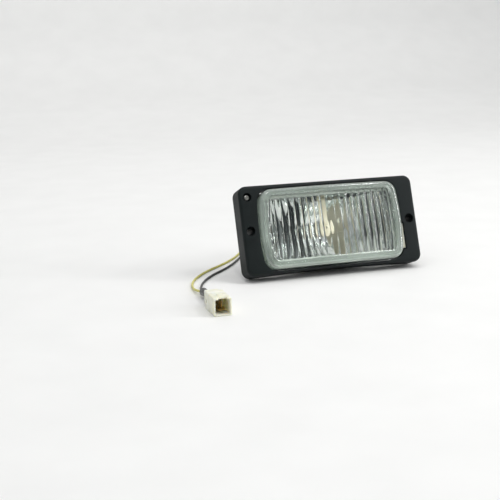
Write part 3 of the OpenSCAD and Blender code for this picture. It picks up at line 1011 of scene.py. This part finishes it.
def makeNut():
    s = nutShape
    x, z = bezelShape["screw"]
    half, wide, slit = s["half"], s["flangeHalf"], s["slitHalf"]
    start, end = s["depth"]
    nut = box((x - half, start, z - half), (x + half, end, z + half))
    carve(nut, [box((x - wide, s["flangeAt"], z - wide), (x + wide, end, z + wide))], "UNION")
    carve(nut, [box((x - 6, 14, z - slit), (x + 6, 19, z + slit)), rod(x, z, 14, 24, s["hole"])])
    soften(nut, s["edgeBreak"], 2)
    nut.name = "moulded_nut"
    return place(nut, lampPlace, "natural_nylon", "optic_unit", ["adjuster_nut"])


makeScrew()
makeWasher()
makeNut()
print("pivots and adjuster made")


# The solid inside the bowl, down to just in front of its front depth
def bowlSolid(apex, halfWidth, halfHeight, front, columns=88, rows=42):
    points = bowlGrid(apex, halfWidth, halfHeight, front, columns, rows)
    faces, rim = gridFaces(columns, rows)
    end = range(len(points), len(points) + len(rim))
    points += [(points[i][0], front - 1.5, points[i][2]) for i in rim]
    faces += wallFaces(rim, end) + [tuple(end)]
    return shapeFrom("bowl", points, faces)


housingShape = {
    "flange": (10, 16),
    "apex": 63,
    "halfWidth": 71.5,
    "halfHeight": 33.8,
    "boss": (29, 57.5),
    "neck": (24, 63.5),
    "seat": (20.5, 60.3),
    "ribs": (-54, -36, -18, 18, 36, 54),
    "ribHeight": 2.2,
    "ribHalf": 0.8,
    "edgeBreak": 0.4,
}


def makeHousing():
    s = housingShape
    low, high = s["flange"]
    rings = []
    for grow, y in ((-0.6, low), (0, low + 0.5), (0, high - 0.8), (-0.25, high - 0.25), (-0.8, high)):
        rings.append([(x, y, z) for x, z in outline(lensShape, grow)])
    shell = loft("rear_shell", rings)
    bossRadius, bossEnd = s["boss"]
    neckRadius, neckEnd = s["neck"]
    seatRadius, seatDepth = s["seat"]
    x, z = bezelShape["screw"]
    profile = [(bossRadius, 40), (bossRadius, bossEnd - 0.8), (bossRadius - 0.8, bossEnd),
               (neckRadius, bossEnd), (neckRadius, neckEnd - 0.6), (neckRadius - 0.6, neckEnd)]
    boss = turned("boss", profile, steps=72)
    lug = box((x - 5, 15.5, z - 7), (-60, 20.5, z + 4.9))
    bowl = bowlSolid(s["apex"], s["halfWidth"], s["halfHeight"], 12)
    # stiffening ribs from the shelves down the back of the bowl
    ribs = []
    for rib in s["ribs"]:
        edge = [(14, 32.5), (14, -32.5)]
        for z in (3.25 * k for k in range(-10, 11)):
            sink = 3 * max(0, (abs(z) - 19.5) / 13) ** 2  # the ribs run out at the shelves
            edge.append((max(15, bowlDepth(rib, z, s["apex"] + s["ribHeight"] - sink)), z))
        sides = (rib - s["ribHalf"], rib + s["ribHalf"])
        ribs.append(loft("rib", [[(x, y, z) for y, z in edge] for x in sides]))
    carve(shell, [bowl, boss, lug] + ribs, "UNION")
    inside = bowlSolid(reflectorShape["apex"] + 2.2, lensShape["halfWidth"] - 4.8, 32.2, 9)
    tools = [inside, rod(0, 0, seatDepth, neckEnd + 1, seatRadius, 64), rod(0, 0, 55, neckEnd + 1, 8),
             box((x - 4.2, 14, z - 4.2), (x + 4.2, 22, z + 4.2))]
    for side in (-1, 1):
        low, high = sorted((side * 71, side * 75))
        tools.append(box((low, 9, bezelShape["pivot"][1] - 11), (high, 17, bezelShape["pivot"][1] + 11)))
    carve(shell, tools)
    soften(shell, s["edgeBreak"], 2, 50)
    return place(shell, lampPlace, "plain_moulded_plastic", "optic_unit", ["rear_housing"], 32)


makeHousing()
print("rear housing made")

bootShape = {
    "start": 57.5,
    "flange": (28.5, 64),
    "cone": (16.8, 63, 11.5, 111.293),
    "inner": (14.9, 9.4, 108.2),
    "tab": (8, 32.5),
    "nipple": (2.3, 113.293),
    "neckRadius": 24.0,
    "groovesAt": (94, 98, 102),
    "grooveWidth": 0.9,
    "grooveDepth": 0.45,
    "edgeBreak": 0.5,
}


def makeBoot():
    s = bootShape
    flangeRadius, flangeEnd = s["flange"]
    wide, wideAt, narrow, end = s["cone"]
    slope = (wide - narrow) / (end - wideAt)
    innerWide, innerNarrow, innerEnd = s["inner"]
    neckEnd = housingShape["neck"][1]
    neck = s["neckRadius"]
    outer = [(neck, s["start"]), (flangeRadius - 0.5, s["start"]), (flangeRadius, s["start"] + 0.5),
             (flangeRadius, flangeEnd - 0.8), (flangeRadius - 0.25, flangeEnd - 0.25),
             (flangeRadius - 0.8, flangeEnd), (20.0, flangeEnd), (18.4, flangeEnd + 0.3),
             (17.2, flangeEnd + 1.1), (16.55, flangeEnd + 2.4)]
    # the sleeve tapers, with three shallow grip grooves near its end
    for k in range(1, 33):
        y = flangeEnd + 2.4 + k * (end - 3.5 - flangeEnd - 2.4) / 32
        groove = sum(math.exp(-((y - ring) / s["grooveWidth"]) ** 2) for ring in s["groovesAt"])
        outer.append((wide - (y - wideAt) * slope - s["grooveDepth"] * groove, y))
    outer += [(narrow + 0.15, end - 2), (narrow - 0.35, end - 0.9), (narrow - 1.1, end - 0.25),
              (narrow - 2.2, end), (0.05, end)]
    inner = [(0.05, innerEnd), (innerNarrow - 1, innerEnd), (innerNarrow, innerEnd - 1),
             (innerWide, neckEnd), (neck, neckEnd)]
    boot = turned("boot_sleeve", inner + outer, steps=72)
    radius, height = s["tab"]
    tab = loft("tab", [circle(radius, y, 0, height, 40) for y in (61, flangeEnd)])
    root = box((-6, 61, 23.8), (6, 63.9, 30.5))
    tipRadius, tip = s["nipple"]
    profile = [(tipRadius + 0.9, end - 2), (tipRadius + 0.7, end - 0.2), (tipRadius + 0.15, end + 0.5),
               (tipRadius - 0.1, tip)]
    across, up = leads["nippleSide"], leads["nippleHeight"]
    nipples = [turned("nipple", profile, side * across, up, 32) for side in (-1, 1)]
    carve(boot, [root, tab] + nipples, "UNION")
    carve(boot, [rod(0, 0, 50, neckEnd, neck, 72)])
    carve(boot, [rod(side * across, up, innerEnd - 1, tip + 1, leads["radius"], 24) for side in (-1, 1)])
    soften(boot, s["edgeBreak"], 3, 50)
    return place(boot, lampPlace, "moulded_rubber", "optic_unit", ["boot"], 50)


makeBoot()


springShape = {
    "depth": 63.8,
    "top": 10.5,
    "foot": -8,
    "radius": 0.7,
}


def makeClipWire():
    y, z, foot = springShape["depth"], springShape["top"], springShape["foot"]
    line = [(8.7, y, z), (7.2, y, z), (6.2, y, z - 0.2), (5.8, y, z - 1), (5.8, y, z - 4), (5.8, y, foot + 3),
            (5.6, y, foot + 0.9), (4.9, y, foot + 0.15), (3, y, foot)]
    line += [(-px, py, pz) for px, py, pz in reversed(line)]
    spring = bar("retaining_spring", smoothLine(line, 4), springShape["radius"], 12)
    return place(spring, lampPlace, "drawn_spring_steel", "bulb_clip_wire", ["bulb_clip"], 60)


makeClipWire()
print("boot and bulb clip made")

plugShape = {
    "half": 8,
    "mouth": -38,
    "shoulder": -9,
    "rearHalf": 6.5,
    "wall": 1.4,
    "floor": -17,
    "bladeHalf": 3.15,
    "bladeThick": 0.8,
    "sleeve": (3.8, 28, 2.9),
    "tilt": 6,
    "edgeBreak": 0.25,
    "bladeHole": 0.8,
}


def squareRing(half, y, corner=1.2):
    return [(x, y, z) for x, z in outline({"halfWidth": half, "halfHeight": half, "corner": corner}, 0, 5, 3)]


def makePlug():
    s = plugShape
    half, mouth, rear = s["half"], s["mouth"], s["rearHalf"]
    shoulder, floor = s["shoulder"], s["floor"]
    sizes = ((half - 0.5, mouth), (half - 0.15, mouth + 0.15), (half, mouth + 0.5), (half, -24),
             (half - 0.25, -23.4), (half - 0.25, -22), (half, -21.4), (half, shoulder - 1.2),
             (half - 0.3, shoulder - 0.4), (rear, shoulder + 0.8), (rear, -0.6), (rear - 0.5, 0))
    plug = loft("plug_housing", [squareRing(size, y) for size, y in sizes])
    catch = [(mouth + 6, half - 0.5), (mouth + 12, half - 0.5),
             (mouth + 12, half + 1.4), (mouth + 11, half + 1.4)]
    ramp = loft("ramp", [[(x, y, z) for y, z in catch] for x in (-2.5, 2.5)])
    # guide rails down both sides
    rails = []
    for side in (-1, 1):
        for z in (-4.5, 4.5):
            low, high = sorted((side * (half - 0.4), side * (half - 0.05)))
            rails.append(box((low, mouth + 2, z - 0.6), (high, -26, z + 0.6)))
    carve(plug, [ramp] + rails, "UNION")
    inner = half - s["wall"]
    cavity = loft("cavity", [squareRing(inner, mouth - 1, 0.8), squareRing(inner, floor, 0.8)])
    seats = [box((-2.4, floor - 1, -6.2), (2.4, floor + 0.8, -5)),
             box((-4, mouth - 1, half - 3), (4, mouth + 3, half + 2))]
    windows = [box((side * half - 1, -15, -1.8), (side * half + 1, -11.5, 1.8)) for side in (-1, 1)]
    carve(plug, [cavity] + seats + windows)
    soften(plug, s["edgeBreak"], 2)
    return place(plug, plugPlace, "natural_nylon", "optic_unit", ["connector_housing"])


# A stamped blade with a bevelled tip and a locating hole, drawn flat across X and then turned
def makeBlade(name, node, lift, turn):
    s = plugShape
    half, tip, thick = s["bladeHalf"], s["mouth"] + 4, s["bladeThick"] / 2
    edge = [(-half, s["floor"]), (-half, tip + 1.6), (-half + 0.5, tip + 0.5), (-half + 1.4, tip),
            (half - 1.4, tip), (half - 0.5, tip + 0.5), (half, tip + 1.6), (half, s["floor"])]
    blade = loft(name, [[(x, y, z) for x, y in edge] for z in (-thick, thick)])
    radius = s["bladeHole"]
    hole = loft("hole", [[(radius * math.cos(a), tip + 5 + radius * math.sin(a), z) for a in anglesRound(20)]
                         for z in (-1, 1)])
    carve(blade, [hole])
    soften(blade, 0.2, 2, 30)
    onEdge = Matrix.Rotation(math.radians(90 * turn), 4, "Y")
    where = plugPlace @ Matrix.Translation((0, 0, lift)) @ onEdge
    return place(blade, where, "stamped_brass", "optic_unit", [node])


def makeSleeve():
    s = plugShape
    radius, length, recess = s["sleeve"]
    profile = [(recess, 0), (radius - 0.5, 0), (radius, 0.5)]
    for k in range(1, 24):
        y = k * length / 24
        profile.append((radius - 0.12 - 0.12 * math.sin(y * 1.1) ** 2, y))
    profile += [(radius, length - 0.5), (radius - 0.25, length),
                (recess + 0.15, length), (recess, length - 0.3)]
    sleeve = turned("shrink_sleeve", profile, steps=28, closed=True)
    tilt = Matrix.Rotation(math.radians(-s["tilt"]), 4, "X")
    return place(sleeve, plugPlace @ tilt, "black_pvc", "optic_unit", ["wire_sleeve"], 50)


plug = makePlug()
flatBlade = makeBlade("flat_blade", "blade_flat", -3.5, 0)
uprightBlade = makeBlade("upright_blade", "blade_upright", 1.55, 1)
sleeve = makeSleeve()
print("connector made")


studio = {
    "skyStrength": 0.75,
    "skyColours": ("#c3c8ca", "#f6f8fa"),
    "skyHeights": (0.3, 0.85),
    "openFront": "#24292b",
    "openAngles": (-0.9, -0.72),
    "sweep": ((-3, 0), (1.2, 0), (1.6, 0.06), (1.9, 0.25), (2.05, 0.6), (2.1, 3.0)),
    "sweepHalf": 4,
    "lights": (
        # name, place, width, height, watts, what it points at
        ("key", (0.9, -0.6, 1.6), 0.4, 0.4, 7, (0, 0, 0.03)),
        ("top", (0.0, 0.0, 1.8), 1.6, 0.9, 6, (0, 0.1, 0)),
        ("strip", (1.5, -0.8, 0.7), 0.15, 1.2, 12, (0, 0, 0.04)),
        ("front", (-0.3, -1.2, 2.0), 0.25, 0.25, 6, (0, 0, 0.04)),
        ("back", (0.0, 0.8, 1.6), 2.6, 0.8, 7, (0, 2.0, 0.7)),
    ),
}


def makeStudio():
    scene = bpy.context.scene
    scene.view_settings.view_transform = "Standard"
    world = bpy.data.worlds.new("soft_room")
    scene.world = world
    world.use_nodes = True
    tree = world.node_tree
    where = addNode(tree, "ShaderNodeTexCoord").outputs["Generated"]
    way = addNode(tree, "ShaderNodeSeparateXYZ", None, {"Vector": where})
    # darker near the horizon, where the room is, and light above
    low, high = studio["skyHeights"]
    height = addNode(tree, "ShaderNodeMapRange", None, {
        "Value": way.outputs["Z"], "From Min": low, "From Max": high,
    })
    dark, light = studio["skyColours"]
    sky = addNode(tree, "ShaderNodeMix", {"data_type": "RGBA"}, {
        0: height.outputs["Result"], 6: toLinear(dark), 7: toLinear(light),
    })
    # and the tent is open to a dim room at the front
    low, high = studio["openAngles"]
    front = addNode(tree, "ShaderNodeMapRange", None, {
        "Value": way.outputs["Y"], "From Min": low, "From Max": high, "To Min": 1, "To Max": 0,
    })
    room = addNode(tree, "ShaderNodeMix", {"data_type": "RGBA"}, {
        0: front.outputs["Result"], 6: sky.outputs[2], 7: toLinear(studio["openFront"]),
    })
    background = tree.nodes["Background"]
    tree.links.new(room.outputs[2], background.inputs["Color"])
    background.inputs["Strength"].default_value = studio["skyStrength"]
    points = []
    for y, z in studio["sweep"]:
        points += [(-studio["sweepHalf"], y, z), (studio["sweepHalf"], y, z)]
    faces = [(2 * i, 2 * i + 1, 2 * i + 3, 2 * i + 2) for i in range(len(points) // 2 - 1)]
    floor = shapeFrom("paper_sweep", points, faces)
    floor.data.shade_smooth()
    floor.data.materials.append(finish["matt_paper"])
    for name, where, width, height, power, aim in studio["lights"]:
        data = bpy.data.lights.new(name, "AREA")
        data.shape = "RECTANGLE"
        data.size = width
        data.size_y = height
        data.energy = power
        light = bpy.data.objects.new(name, data)
        bpy.context.scene.collection.objects.link(light)
        light.location = where
        light.rotation_euler = (Vector(aim) - Vector(where)).to_track_quat("-Z", "Y").to_euler()


makeStudio()

carried = {
    "shield_rivets": "zinc_plated_steel",
    "bulb_seat": "zinc_plated_steel",
    "seat_screws": "zinc_plated_steel",
    "bulb_base": "zinc_plated_steel",
    "bulb_lead": "black_pvc",
    "feed_terminal": "stamped_brass",
    "earth_terminal": "stamped_brass",
}
for node, material in carried.items():
    data = cadNodes[node].data
    data.materials.clear()
    data.materials.append(finish[material])

for wirePiece, node, exitPoint, length, material, others in (
        (blackWire, "wire_black", blackExit, blackLength, "black_pvc", [sleeve, plug, flatBlade]),
        (yellowWire, "wire_yellow", yellowExit, yellowLength, "yellow_pvc", [uprightBlade])):
    wirePiece.data.materials.append(finish[material])
    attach(wirePiece, "optic_unit")
    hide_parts(node)
    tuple(exitPoint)
    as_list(others)
